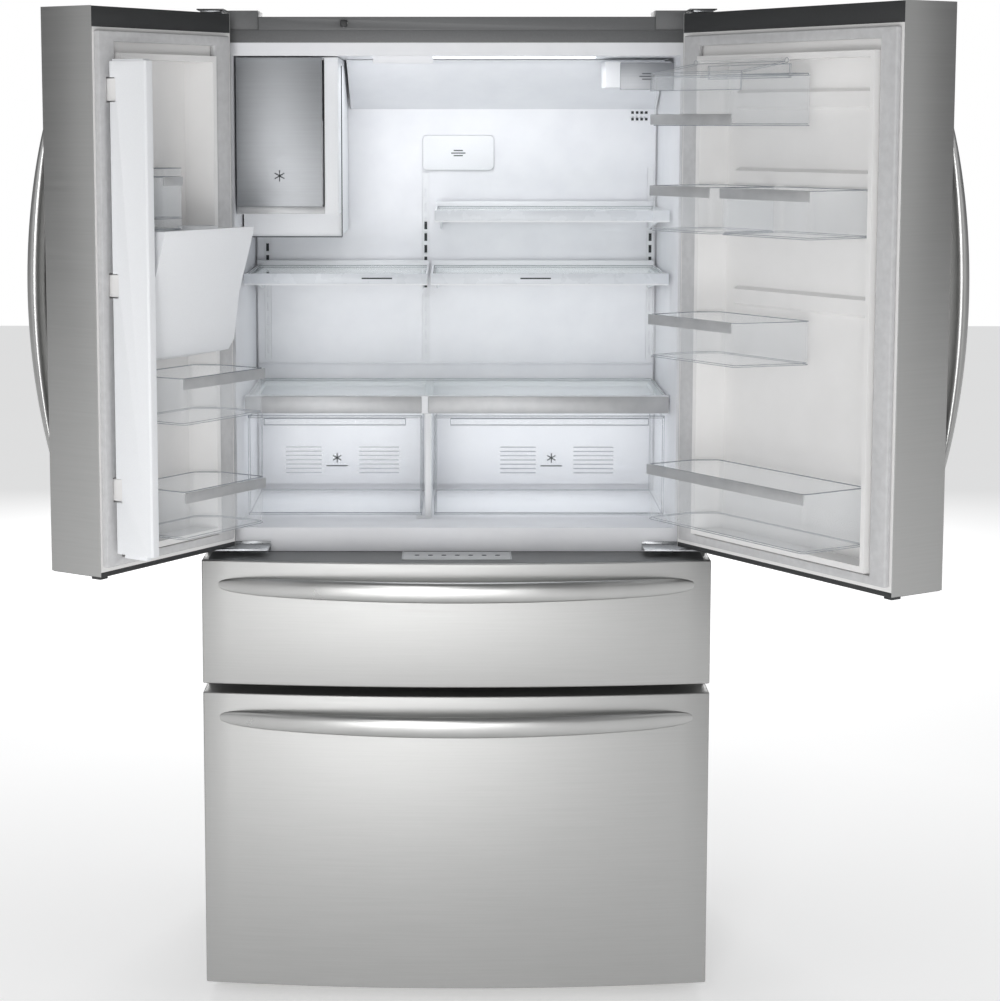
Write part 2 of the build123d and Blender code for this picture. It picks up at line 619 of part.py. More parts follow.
def door_handle(x_centre):
    """A tall bowed bar that springs from the skin near the door's free edge."""
    skin = bow_y(x_centre)
    low, high = HANDLE_Z
    middle = (low + high) / 2
    x0 = x_centre - GRIP
    outer = ThreePointArc((x0, skin + GRIP_SINK, low), (x0, skin - 61, middle), (x0, skin + GRIP_SINK, high))
    inner = ThreePointArc((x0, skin + GRIP_SINK, high - GRIP_FOOT), (x0, skin - 35, middle),
                          (x0, skin + GRIP_SINK, low + GRIP_FOOT))
    ends = [Line((x0, skin + GRIP_SINK, high), (x0, skin + GRIP_SINK, high - GRIP_FOOT)),
            Line((x0, skin + GRIP_SINK, low + GRIP_FOOT), (x0, skin + GRIP_SINK, low))]
    bar = extrude(make_face(outer + inner + ends), 2 * GRIP, dir=(1, 0, 0))
    return bar - bowed((x_centre - 40, x_centre + 40), DOOR_BACK, (900, 1700))


def drawer_handle(z_middle):
    """A wide bowed bar across a drawer front."""
    z0 = z_middle - GRIP
    reach, foot = DRAWER_GRIP_X, DRAWER_GRIP_X - GRIP_FOOT
    end = bow_y(reach)
    outer = ThreePointArc((-reach, end + GRIP_SINK, z0), (0, -86, z0), (reach, end + GRIP_SINK, z0))
    inner = ThreePointArc((foot, end + GRIP_SINK, z0), (0, -66, z0), (-foot, end + GRIP_SINK, z0))
    ends = [Line((reach, end + GRIP_SINK, z0), (foot, end + GRIP_SINK, z0)),
            Line((-foot, end + GRIP_SINK, z0), (-reach, end + GRIP_SINK, z0))]
    bar = extrude(make_face(outer + inner + ends), 2 * GRIP, dir=(0, 0, 1))
    return bar - bowed((-HALF, HALF), DOOR_BACK, (z0 - 10, z0 + 60))


def dispenser_space():
    """What the dispenser's tub takes out of the door."""
    shallow = block((CAVITY_X[0] - 4, CAVITY_X[1] + 4), (-60, 46), (CAVITY_Z[0] - 4, CAVITY_Z[1] + 4))
    deep = block((CAVITY_X[0] - 4, CAVITY_X[1] + 4), (-60, 112), (1204, CAVITY_Z[1] + 4))
    rim = block(DISPENSER_X, (-60, 5), DISPENSER_Z)
    return shallow + deep + rim


def dispenser_bezel():
    """The glossy front panel, the tub behind it, the spout and the drip tray."""
    face = bowed(DISPENSER_X, 5, DISPENSER_Z, -2)
    tub = block((CAVITY_X[0] - 4, CAVITY_X[1] + 4), (0, 46), (CAVITY_Z[0] - 4, CAVITY_Z[1] + 4))
    tub += block((CAVITY_X[0] - 4, CAVITY_X[1] + 4), (0, 112), (1204, CAVITY_Z[1] + 4))
    hollow = block(CAVITY_X, (-60, 42), CAVITY_Z) + block(CAVITY_X, (-60, 108), (1208, CAVITY_Z[1]))
    bezel = face + tub - hollow
    spout = rod((PADDLE_X, 34, 1350), 20, 46) - rod((PADDLE_X, 34, 1349), 16, 40)
    drip = block((CAVITY_X[0] + 1, CAVITY_X[1] - 1), (-12, 41), (CAVITY_Z[0], CAVITY_Z[0] + 8))
    for i in range(15):
        x = CAVITY_X[0] + 12 + i * 10
        drip -= block((x, x + 5), (-4, 34), (CAVITY_Z[0] + 3, CAVITY_Z[0] + 9))
    hangers = block((PADDLE_X - 32, PADDLE_X - 28), (50, 66), (1326, 1396))
    hangers += block((PADDLE_X + 28, PADDLE_X + 32), (50, 66), (1326, 1396))
    hangers += rod((PADDLE_X - 30, PADDLE_Y, PADDLE_Z), 3.0, 60, "X")
    return bezel + spout + drip + hangers


def dispenser_paddle():
    paddle = block((PADDLE_X - 24, PADDLE_X + 24), (PADDLE_Y - 2, PADDLE_Y + 2), (1226, 1334))
    paddle += rod((PADDLE_X - 25, PADDLE_Y, PADDLE_Z), 6.5, 50, "X")
    return paddle - rod((PADDLE_X - 26, PADDLE_Y, PADDLE_Z), 3.06, 52, "X")


def housing_block():
    side = [(RECESS_FLOOR - 3, 1404), (183, 1410), (181, 1398), (149, 1296), (137, 1215), (124, 1196),
            (RECESS_FLOOR - 3, 1180)]
    return prism_x(side, HOUSING_X)


def dispenser_housing():
    """The white cover inside the left door over the dispenser tub and the ice chute."""
    side = [(RECESS_FLOOR - 3, 1400), (179, 1405), (177, 1398), (145.5, 1297), (133.5, 1216),
            (122, 1200), (RECESS_FLOOR - 3, 1185)]
    hollow = prism_x(side, (HOUSING_X[0] + WALL, HOUSING_X[1] - WALL))
    chute = rod((PADDLE_X, 140, 1402), 34, 12) - rod((PADDLE_X, 140, 1390), 28, 30)
    return housing_block() - hollow + chute - rod((PADDLE_X, 140, 1390), 28, 30)


def flipper_mullion():
    """The hinged bar that bridges the gap between the shut doors, folded back here."""
    x, y = FLIPPER_HINGE
    bar = block((-135, -115), (97, 176), FLIPPER_Z)
    bar = chamfer(bar.edges().filter_by(Axis.Z), 3)
    bar += block((-130, -120), (112, 160), (867, 875))
    bar += block((-133, -117), (104, 170), (1685, 1689))
    for z in FLIPPER_PIN_Z:
        bar -= block((-140, -110), (90, 112), (z, z + 40))
        bar += rod((x, y, z - 6), FLIPPER_PIN_R, 52)
    return bar


def flipper_lugs():
    """Eyes on the left door's liner that hold the flipper's hinge pins."""
    lugs = []
    x, y = FLIPPER_HINGE
    for z in FLIPPER_PIN_Z:
        lug = block((x - 5.5, x + 5.5), (DOOR_BACK, y + 5.5), (z + 2, z + 38))
        lugs.append(lug - rod((x, y, z + 1), FLIPPER_BORE_R, 40))
    return lugs


def door_bin(x, z, taper=0.0):
    """A clear bin; x[1] is its hinge end, which narrows into the recess."""
    x0, x1 = x
    plan = [(x0 - taper * 0.2, BIN_FRONT), (x1, BIN_FRONT), (x1 - 2, RIM_FACE + 8),
            (x1 - 27, BIN_BACK), (x0 - taper, BIN_BACK)]
    return tray(plan, z, CLEAR, BIN_CORNER)


def right_door_bins():
    low = door_bin((-14, BIN_SIDE), (905, 1000))
    big = door_bin((169, BIN_SIDE), (1188, 1260), 44)
    first = door_bin((229, BIN_SIDE), (1404, 1480), 10)
    plan = [(-12, 196), (205, 196), (205, BIN_BACK), (-12, BIN_BACK)]
    second = tray(plan, (1404, 1480), CLEAR, BIN_CORNER)
    dairy = door_bin((176, BIN_SIDE), (1582, 1664), 44)
    roof = block((146, 354), (BIN_BACK, 100), (1664, 1667)) + block((146, 354), (100, 103), (1660, 1682))
    return group(low, big, first, second, dairy + roof)


def left_door_bins():
    upper = mirrored(door_bin((172, BIN_SIDE), (1090, 1167)))
    lower = mirrored(door_bin((172, BIN_SIDE), (898, 978)))
    small = tray([(-205, 100), (-154, 100), (-154, 176), (-205, 176)], (1411, 1498), 2, 6)
    cup = tray([(-300, 56), (-240, 56), (-240, 96), (-300, 96)], (1425, 1510), 2, 6)
    return group(upper, lower, small, cup)


def dairy_lid():
    lid = prism_x([(LID_Y, LID_Z - 1.2), (202, 1670), (203.5, 1640), (201, 1640), (200, 1667.5),
                   (LID_Y, LID_Z - 4)], (150, 384))
    barrel = rod((150, LID_Y, LID_Z), 4, 234, "X")
    return lid + barrel


# ---- drawers ------------------------------------------------------------------------------
def drawer_front(z):
    return bowed((-HALF, HALF), DOOR_BACK, z)


def drawer_tub(y, z, wall=WALL):
    plan = [(-TUB_X, y[0]), (TUB_X, y[0]), (TUB_X, y[1]), (-TUB_X, y[1])]
    return tray(plan, z, wall)


def middle_drawer_tub():
    tub = drawer_tub((104, 520), (634, 776))
    tub += block((-TUB_X, TUB_X), (DOOR_BACK, 105), (690, 730))
    for x0, x1 in ((-385, -371), (371, 385)):
        tub += block((x0, x1), (DOOR_BACK, 530), (704.5, 713.5))
    return tub


def freezer_tub():
    tub = drawer_tub((104, 440), (112, 352))
    tub += block((-TUB_X, TUB_X), (DOOR_BACK, 105), (300, 340))
    for x0, x1 in ((-385, -371), (371, 385)):
        tub += block((x0, x1), (DOOR_BACK, 440), (364.5, 373.5))
        tub += block((max(x0, -376), min(x1, 376)), (DOOR_BACK, 440), (340, 373.5))
    return tub


def freezer_basket():
    basket = drawer_tub((110, 380), (386, 500), CLEAR)
    for x0, x1 in ((-377, -371), (371, 377)):
        basket += block((x0, x1), (110, 380), (376, 392))
    return basket


def left_parts():
    liner = door_liner("left", LEFT_DOOR, LEFT_RIM, (), dispenser=True)
    for lug in flipper_lugs():
        liner += lug
    gasket = door_gasket(LEFT_DOOR, LEFT_RIM)
    for z in FLIPPER_PIN_Z:
        gasket -= block((-134, -119), (78, 95), (z, z + 40))
    return {
        "left_door_panel": door_panel(LEFT_DOOR, dispenser=True),
        "left_door_liner": liner,
        "left_door_gasket": gasket,
        "left_door_caps": door_caps("left", LEFT_DOOR),
        "left_door_handle": door_handle(LEFT_HANDLE_X),
        "left_door_bins": left_door_bins(),
        "dispenser_housing": dispenser_housing(),
        "dispenser_bezel": dispenser_bezel(),
        "dispenser_paddle": dispenser_paddle(),
        "flipper_mullion": flipper_mullion(),
    }


def right_parts():
    return {
        "right_door_panel": door_panel(RIGHT_DOOR),
        "right_door_liner": door_liner("right", RIGHT_DOOR, RIGHT_RIM, RIGHT_LEDGES),
        "right_door_gasket": door_gasket(RIGHT_DOOR, RIGHT_RIM),
        "right_door_caps": door_caps("right", RIGHT_DOOR),
        "right_door_handle": door_handle(RIGHT_HANDLE_X),
        "right_door_bins": right_door_bins(),
        "dairy_lid": dairy_lid(),
    }


def fixed_parts():
    return {
        "case_shell": case_shell(), "back_covers": group(case_back(), machine_cover()),
        "foam_insulation": foam_insulation(),
        "fresh_food_liner": fresh_food_liner(), "drawer_liners": drawer_liners(),
        "top_cover": top_cover(), "hinge_brackets": hinge_brackets(), "hinge_screws": hinge_screws(),
        "base_frame": base_frame(), "toe_grille": toe_grille(), "levelling_legs": levelling_legs(),
        "compressor": compressor(), "condenser": condenser(), "fan_shroud": fan_shroud(),
        "water_valve": water_valve(), "cord_gland": cord_gland(),
        "evaporator": evaporator(), "evaporator_cover": evaporator_cover(),
        "air_duct_panel": air_duct_panel(), "shelf_ladders": shelf_ladders(),
        "shelf_frames": shelf_frames(), "shelf_glass": shelf_glass(), "crisper_frame": crisper_frame(),
        "ice_maker_box": ice_maker_box(), "ice_mould": ice_mould(), "water_filter": water_filter(),
        "air_filter_cover": air_filter_cover(), "drawer_rails": drawer_rails(),
    }


def sliding_parts():
    return {
        "left_crisper": crisper(-386, -64), "right_crisper": crisper(-40, 386), "ice_bin": ice_bin(),
        "condenser_fan": condenser_fan(), "evaporator_fan": evaporator_fan(),
        "left_roller": roller(-1), "right_roller": roller(1), "door_switch": door_switch(),
        "middle_drawer_front": drawer_front(MIDDLE), "middle_drawer_tub": middle_drawer_tub(),
        "middle_drawer_handle": drawer_handle(MIDDLE_HANDLE_Z), "freezer_drawer_front": drawer_front(FREEZER),
        "freezer_drawer_handle": drawer_handle(FREEZER_HANDLE_Z), "freezer_tub": freezer_tub(),
        "freezer_basket": freezer_basket(),
    }


def main():
    os.makedirs("parts", exist_ok=True)
    nodes = {**fixed_parts(), **sliding_parts()}
    nodes.update({name: swing("left", shape) for name, shape in left_parts().items()})
    nodes.update({name: swing("right", shape) for name, shape in right_parts().items()})
    for name, shape in nodes.items():
        export_step(shape, f"parts/{name}.step")
    print(len(nodes), "nodes")


main()
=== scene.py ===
"""A french door refrigerator, standing open: finishes, fine pieces, light and camera."""
import json
import math

import bmesh
import bpy
from mathutils import Matrix, Vector


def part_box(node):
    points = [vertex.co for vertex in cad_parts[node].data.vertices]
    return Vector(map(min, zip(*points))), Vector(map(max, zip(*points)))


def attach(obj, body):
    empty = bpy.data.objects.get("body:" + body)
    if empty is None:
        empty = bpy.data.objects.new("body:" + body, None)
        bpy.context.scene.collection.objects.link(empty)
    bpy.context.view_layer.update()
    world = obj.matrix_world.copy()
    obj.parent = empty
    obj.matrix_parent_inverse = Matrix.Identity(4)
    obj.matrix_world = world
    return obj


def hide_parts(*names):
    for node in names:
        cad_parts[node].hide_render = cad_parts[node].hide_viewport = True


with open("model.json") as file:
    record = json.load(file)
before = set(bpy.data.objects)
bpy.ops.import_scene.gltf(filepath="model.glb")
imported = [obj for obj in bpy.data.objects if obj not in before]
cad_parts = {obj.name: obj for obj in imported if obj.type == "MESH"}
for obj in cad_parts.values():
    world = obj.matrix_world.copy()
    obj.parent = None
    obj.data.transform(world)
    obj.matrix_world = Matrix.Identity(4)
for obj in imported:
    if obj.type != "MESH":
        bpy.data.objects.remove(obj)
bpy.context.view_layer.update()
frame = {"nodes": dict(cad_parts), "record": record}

MM = 0.001
RECORD = frame["record"]
BODY_OF = {n: body for body, nodes in RECORD["behaviour"]["bodies"].items() for n in nodes}

# The doors' hinge axes and how far each stands open; door pieces are made shut, then swung.
HINGE_X, HINGE_Y = 434, 45
OPEN = {"left": -123.5, "right": 123.1}
HALF, BOW = 452.5, 33
BOW_RADIUS = (HALF ** 2 + BOW ** 2) / (2 * BOW)


# ---- shaders -------------------------------------------------------------------------------
def linear(colour, alpha=1.0):
    """An sRGB hex colour as the linear values a shader takes."""
    parts = [int(colour[i:i + 2], 16) / 255 for i in (1, 3, 5)]
    return (*[p / 12.92 if p < 0.04045 else ((p + 0.055) / 1.055) ** 2.4 for p in parts], alpha)


def add(tree, kind, inputs=None, **settings):
    """Adds a node with its settings; an input may be a value or another node's output."""
    made = tree.nodes.new(kind)
    for key, value in settings.items():
        setattr(made, key, value)
    for key, value in (inputs or {}).items():
        if isinstance(value, bpy.types.NodeSocket):
            tree.links.new(value, made.inputs[key])
        else:
            made.inputs[key].default_value = value
    return made


def finish(name, light, dark, size_mm, rough, bump_mm, pattern="noise", **shader):
    """A finish whose colour, gloss and relief all follow one pattern of real size_mm."""
    material = bpy.data.materials.new(name)
    material.use_nodes = True
    tree = material.node_tree
    shade = tree.nodes["Principled BSDF"]
    place = add(tree, "ShaderNodeTexCoord").outputs["Object"]
    scale = tuple(1 / (side * MM) for side in size_mm)
    place = add(tree, "ShaderNodeMapping", {"Vector": place, "Scale": scale}).outputs["Vector"]
    if pattern == "cells":
        source = add(tree, "ShaderNodeTexVoronoi", {"Vector": place, "Scale": 1.0})
        value = add(tree, "ShaderNodeSeparateColor", {"Color": source.outputs["Color"]}).outputs[0]
    else:
        source = add(tree, "ShaderNodeTexNoise", {"Vector": place, "Scale": 1.0, "Detail": 4.0})
        value = source.outputs["Fac"]
    ramp = add(tree, "ShaderNodeValToRGB", {"Fac": value})
    ramp.color_ramp.elements[0].position = 0.3
    ramp.color_ramp.elements[0].color = linear(dark)
    ramp.color_ramp.elements[1].position = 0.7
    ramp.color_ramp.elements[1].color = linear(light)
    gloss = add(tree, "ShaderNodeMapRange",
                {"Value": value, "From Min": 0.3, "From Max": 0.7, "To Min": rough[0], "To Max": rough[1]})
    relief = add(tree, "ShaderNodeBump", {"Height": value, "Distance": bump_mm * MM, "Strength": 0.6})
    tree.links.new(ramp.outputs["Color"], shade.inputs["Base Color"])
    tree.links.new(gloss.outputs["Result"], shade.inputs["Roughness"])
    tree.links.new(relief.outputs["Normal"], shade.inputs["Normal"])
    for key, value in shader.items():
        shade.inputs[key.replace("_", " ")].default_value = value
    return material


def see_through(name, light, dark, size_mm, face, edge, rough, **shader):
    """A clear moulding: thin to look through face on, whiter where it is seen edge on."""
    material = finish(name, light, dark, size_mm, rough, 0.05, **shader)
    tree = material.node_tree
    slant = add(tree, "ShaderNodeLayerWeight", {"Blend": 0.35}).outputs["Facing"]
    cover = add(tree, "ShaderNodeMapRange", {"Value": slant, "To Min": face, "To Max": edge})
    tree.links.new(cover.outputs["Result"], tree.nodes["Principled BSDF"].inputs["Alpha"])
    return material


# Ferritic stainless sheet, rolled and belt-brushed level: fine level lines and a soft broad shine.
# The lines are drawn 2.6 mm apart, coarser than life, so that they show.
STAINLESS = finish("brushed stainless sheet", "#b5b5b4", "#b0b0af", (140, 140, 2.6), (0.42, 0.47), 0.003,
                   Metallic=1.0)
# The ice bin's plate: the same sheet with painted shade. Its colour is darker all over, for the shade it
# takes where the cabinet's own light rakes it.
PLATE_PAINTED_SHADE = finish("brushed stainless plate, painted shade", "#a4a6a9", "#9d9fa2", (140, 140, 3.2), (0.44, 0.50), 0.003,
                   Metallic=1.0)
# Drawn steel bar, buffed after brushing: a tighter shine than the sheet.
BUFFED_BAR = finish("buffed stainless bar", "#bdbdbc", "#b7b7b6", (80, 80, 80), (0.27, 0.32), 0.002,
                    Metallic=1.0)
# Satin foil on moulded trim: an even, pale, silky grey.
SILVER_TRIM = finish("satin silver trim", "#b9babb", "#adaeb0", (30, 30, 30), (0.36, 0.42), 0.003,
                     Metallic=0.35)
# Cold-rolled steel under baked grey polyester: faint orange peel.
CASE_PAINT = finish("baked grey paint on steel", "#7d7d7e", "#747475", (4, 4, 4), (0.38, 0.48), 0.030)
# Hot-dip zinc, minimised spangle: flat crystals about 5 mm across, each with a slightly other shine.
GALVANISED = finish("galvanised steel", "#b4b7b9", "#abaeb1", (5, 5, 5), (0.36, 0.46), 0.010,
                    pattern="cells", Metallic=0.9)
# Zinc-plated pressings and screws: cool, close-grained, slightly glossy.
PLATED = finish("zinc plated steel", "#b6b8ba", "#a1a3a6", (5, 5, 5), (0.25, 0.38), 0.015, Metallic=0.9)
# Vacuum-formed polystyrene, cool white: very slight waviness, soft gloss.
LINER = finish("formed polystyrene, cool white", "#f0f1f4", "#eaebef", (60, 60, 60), (0.32, 0.38), 0.012)
# Vacuum-formed polystyrene of the doors, neutral white.
DOOR_LINER = finish("formed polystyrene, neutral white", "#eeedec", "#ebeae9", (60, 60, 60), (0.34, 0.40),
                    0.012)
# Moulded ABS with a fine spark grain: satin white.
WHITE_ABS = finish("moulded ABS, white", "#eff1f3", "#ecedf0", (2, 2, 2), (0.36, 0.42), 0.006)
# Moulded ABS, mid grey: satin strip and flange colour.
GREY_ABS = finish("moulded ABS, grey", "#c6c7c8", "#bcbdbe", (1.6, 1.6, 1.6), (0.40, 0.50), 0.020)
# The same ABS in the darker grey of the case's front flange and the drawer's top.
DARK_GREY_ABS = finish("moulded ABS, dark grey", "#6a6b6c", "#616263", (1.6, 1.6, 1.6), (0.40, 0.50), 0.020)
# Moulded ABS with a pearl tint: the shelves' front lips.
PEARL_ABS = finish("moulded ABS, pearl", "#dfe3e8", "#dbdfe4", (40, 40, 40), (0.24, 0.30), 0.003)
# Moulded ABS, charcoal, coarser spark grain: dull, hides finger marks.
CHARCOAL_ABS = finish("moulded ABS, charcoal", "#363738", "#2d2e2f", (2, 2, 2), (0.50, 0.62), 0.040)
# Glass-filled polypropylene for feet, rollers, fans and the kick grille: near black, dull.
BLACK_PP = finish("filled polypropylene, black", "#232425", "#191a1b", (3, 3, 3), (0.50, 0.65), 0.040)
# Black ABS polished in the mould: deep gloss with a faint flow pattern.
PIANO_BLACK = finish("polished ABS, black", "#0b0c0d", "#060607", (60, 60, 60), (0.06, 0.12), 0.004,
                     Coat_Weight=0.5)
# Extruded PVC seal: matt, rubbery, pale grey.
SEAL = finish("extruded PVC seal", "#cbcbcc", "#c1c1c2", (12, 12, 12), (0.60, 0.70), 0.006)
# Blown polyurethane: pale straw foam with pores a few millimetres across.
FOAM = finish("blown polyurethane foam", "#e8dcae", "#cdbf8c", (4, 4, 4), (0.85, 0.95), 0.300)
# Stoved black enamel on the compressor and wire condenser: thick, glossy, slightly rippled.
BLACK_ENAMEL = finish("black stoved enamel", "#1b1b1c", "#121213", (12, 12, 12), (0.20, 0.34), 0.050)
# Plain aluminium of coil and ice mould: light, slightly streaky.
ALUMINIUM = finish("plain aluminium", "#c9cbcd", "#b5b7ba", (30, 4, 4), (0.30, 0.42), 0.020, Metallic=1.0)
# Grey print on plastic: flat and matt.
PRINT = finish("grey print", "#5d6063", "#55585b", (2, 2, 2), (0.55, 0.65), 0.005)
# Painted shadow: a dark colour for the shade inside a slot, vent or seam, put on thin sheets where no
# opening is cut.
PAINTED_SLOT_SHADOW = finish("shadowed slot", "#3a3c3e", "#303234", (3, 3, 3), (0.70, 0.80), 0.010)
# Injection-moulded clear polystyrene of bins and crispers.
CLEAR_BIN = see_through("clear polystyrene", "#f4f7fa", "#e8edf2", (40, 40, 40), 0.05, 0.22, (0.06, 0.12))
# The same plastic seen along a wall, as painted shade: a soft grey line round each bin that stands for how
# light runs along a clear wall seen edge on.
PAINTED_EDGE_SHADE = see_through("clear polystyrene, painted edge shade", "#b4b9be", "#a6abb1", (20, 20, 20), 0.55, 0.8,
                         (0.10, 0.20))
# Tempered float glass, 4 mm: faintly green at its edges.
SHELF_GLASS = see_through("tempered shelf glass", "#e6f2f0", "#dcebe9", (80, 80, 80), 0.10, 0.30,
                          (0.02, 0.05))
# Opal lens over the light strip: a lit, cool white diffuser.
LIT_LENS = finish("opal lens, lit", "#ffffff", "#f6f9ff", (8, 8, 8), (0.40, 0.50), 0.010,
                  Emission_Color=linear("#e9f2ff"), Emission_Strength=1.5)


# ---- making pieces -------------------------------------------------------------------------
def bow(x, inset=0.0):
    """The fronts' bowed face at x, in millimetres, moved in by inset."""
    return BOW_RADIUS - BOW - math.sqrt((BOW_RADIUS - inset) ** 2 - x ** 2)


def swung(side):
    """Carries a piece made on a shut door to where the open door holds it; None stays put."""
    if side is None:
        return Matrix.Identity(4)
    pivot = Vector(((-HINGE_X if side == "left" else HINGE_X) * MM, HINGE_Y * MM, 0))
    turn = Matrix.Rotation(math.radians(OPEN[side]), 4, "Z")
    return Matrix.Translation(pivot) @ turn @ Matrix.Translation(-pivot)


def settle(name, mesh, body, material, stands_for=()):
    """Puts a finished mesh in the scene, gives it its material, hangs it on its body and hides the nodes it
    stands for.
    """
    piece = bpy.data.objects.new(name, mesh)
    bpy.context.scene.collection.objects.link(piece)
    mesh.materials.clear()
    mesh.materials.append(material)
    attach(piece, body)
    if stands_for:
        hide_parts(*stands_for)
    return piece


def rounded(mesh, width_mm, segments=2, angle=32):
    """The mesh with its sharp edges rounded, as a moulding or folded sheet has them."""
    holder = bpy.data.objects.new("holder", mesh)
    bpy.context.scene.collection.objects.link(holder)
    bevel = holder.modifiers.new("edges", "BEVEL")
    bevel.width = width_mm * MM
    bevel.segments = segments
    bevel.limit_method = "ANGLE"
    bevel.angle_limit = math.radians(angle)
    bevel.harden_normals = False
    made = bpy.data.meshes.new_from_object(holder.evaluated_get(bpy.context.evaluated_depsgraph_get()))
    bpy.data.objects.remove(holder)
    return made


def shaded(mesh, angle=40):
    """Smooth across gentle turns, crisp at real corners."""
    for face in mesh.polygons:
        face.use_smooth = True
    mesh.set_sharp_from_angle(angle=math.radians(angle))
    return mesh


def softened(node, material, width_mm=1.0, segments=2):
    """A copy of a CAD node with rounded edges, which then stands for that node."""
    bm = bmesh.new()
    bm.from_mesh(frame["nodes"][node].data)
    bmesh.ops.remove_doubles(bm, verts=bm.verts, dist=0.00002)
    bmesh.ops.dissolve_limit(bm, angle_limit=math.radians(0.6), verts=bm.verts, edges=bm.edges)
    mesh = bpy.data.meshes.new(node + "_round")
    bm.to_mesh(mesh)
    bm.free()
    mesh = shaded(rounded(mesh, width_mm, segments))
    return settle(node + "_round", mesh, BODY_OF[node], material, (node,))


def blocks(name, boxes, material, body, side=None, round_mm=0.8, stands_for=()):
    """One piece of bevelled blocks; each box is ((x0, x1), (y0, y1), (z0, z1)) in millimetres."""
    bm = bmesh.new()
    for x, y, z in boxes:
        middle = Vector((sum(x) / 2, sum(y) / 2, sum(z) / 2)) * MM
        size = Vector((x[1] - x[0], y[1] - y[0], z[1] - z[0])) * MM
        place = swung(side) @ Matrix.LocRotScale(middle, None, size)
        bmesh.ops.create_cube(bm, size=1.0, matrix=place)
    mesh = bpy.data.meshes.new(name)
    bm.to_mesh(mesh)
    bm.free()
    if round_mm:
        mesh = rounded(mesh, round_mm)
    return settle(name, shaded(mesh), body, material, stands_for)


def skin_of_rings(name, rings, material, body, side=None, stands_for=()):
    """A closed skin over rings of points, each ring in millimetres and all of one length."""
    bm = bmesh.new()
    rows = [[bm.verts.new(swung(side) @ (Vector(p) * MM)) for p in ring] for ring in rings]
    count = len(rows[0])
    for a, b in zip(rows, rows[1:]):
        for i in range(count):
            j = (i + 1) % count
            bm.faces.new((a[i], a[j], b[j], b[i]))
    bm.faces.new(rows[0])
    bm.faces.new(rows[-1])
    bmesh.ops.recalc_face_normals(bm, faces=bm.faces)
    mesh = bpy.data.meshes.new(name)
    bm.to_mesh(mesh)
    bm.free()
    return settle(name, shaded(mesh, 50), body, material, stands_for)


def arc(reach, end, crown, at):
    """Height at `at` of the circular arc from end at +-reach to crown in the middle."""
    rise = end - crown
    radius = (reach ** 2 + rise ** 2) / (2 * rise)
    return crown + radius - math.sqrt(max(radius ** 2 - at ** 2, 0))


def bow_bar(name, place, reach, skin, crown, depth, half, body, node, side=None):
    """A bowed handle of oval section that thins out and runs into the face at both ends.

    place(along, out, across) gives the point; out is measured along +Y.
    """
    rings = []
    steps, around = 72, 24
    for i in range(steps + 1):
        at = reach * math.sin(math.pi * (i / steps - 0.5))
        surface = skin(at) + 2
        outer = min(arc(reach, skin(reach) + 1, crown, at), surface - 0.4)
        inner = surface if abs(at) > reach - 30 else min(
            arc(reach - 30, skin(reach - 30) + 3, crown + depth, at), surface)
        share = abs(at) / reach
        width = half * (0.82 + 0.18 * (1 - share ** 2)) * math.sqrt(max(1 - share ** 14, 0.02))
        ring = []
        for k in range(around):
            turn = 2 * math.pi * k / around
            c, s = math.cos(turn), math.sin(turn)
            c = math.copysign(abs(c) ** 0.75, c)
            s = math.copysign(abs(s) ** 0.75, s)
            ring.append(place(at, (outer + inner) / 2 - c * (inner - outer) / 2, s * width))
        rings.append(ring)
    return skin_of_rings(name, rings, BUFFED_BAR, body, side, (node,))


# ---- what repeats: studs, slats and ribs ---------------------------------------------------
def repeat_tree(name, form):
    """A Geometry Nodes tree that sets one small form out on a grid, made real at the end."""
    tree = bpy.data.node_groups.new(name, "GeometryNodeTree")
    face = tree.interface
    face.new_socket("Geometry", in_out="OUTPUT", socket_type="NodeSocketGeometry")
    for title in ("Across", "Up"):
        face.new_socket(title, in_out="INPUT", socket_type="NodeSocketInt")
    for title in ("Start", "Step Across", "Step Up", "Size", "Turn"):
        face.new_socket(title, in_out="INPUT", socket_type="NodeSocketVector")
    face.new_socket("Material", in_out="INPUT", socket_type="NodeSocketMaterial")
    given = add(tree, "NodeGroupInput").outputs
    row = add(tree, "GeometryNodeMeshLine",
              {"Count": given["Across"], "Start Location": given["Start"], "Offset": given["Step Across"]})
    column = add(tree, "GeometryNodeMeshLine", {"Count": given["Up"], "Offset": given["Step Up"]})
    grid = add(tree, "GeometryNodeInstanceOnPoints",
               {"Points": row.outputs["Mesh"], "Instance": column.outputs["Mesh"]})
    points = add(tree, "GeometryNodeRealizeInstances", {"Geometry": grid.outputs["Instances"]})
    if form == "stud":
        shape = add(tree, "GeometryNodeMeshCylinder", {"Vertices": 12, "Radius": 0.5, "Depth": 1.0})
    else:
        shape = add(tree, "GeometryNodeMeshCube", {"Size": (1.0, 1.0, 1.0)})
    placed = add(tree, "GeometryNodeInstanceOnPoints",
                 {"Points": points.outputs["Geometry"], "Instance": shape.outputs["Mesh"],
                  "Rotation": given["Turn"], "Scale": given["Size"]})
    real = add(tree, "GeometryNodeRealizeInstances", {"Geometry": placed.outputs["Instances"]})
    coated = add(tree, "GeometryNodeSetMaterial",
                 {"Geometry": real.outputs["Geometry"], "Material": given["Material"]})
    add(tree, "NodeGroupOutput", {"Geometry": coated.outputs["Geometry"]})
    return tree


STUDS = repeat_tree("studs on a grid", "stud")
SLATS = repeat_tree("slats on a grid", "slat")


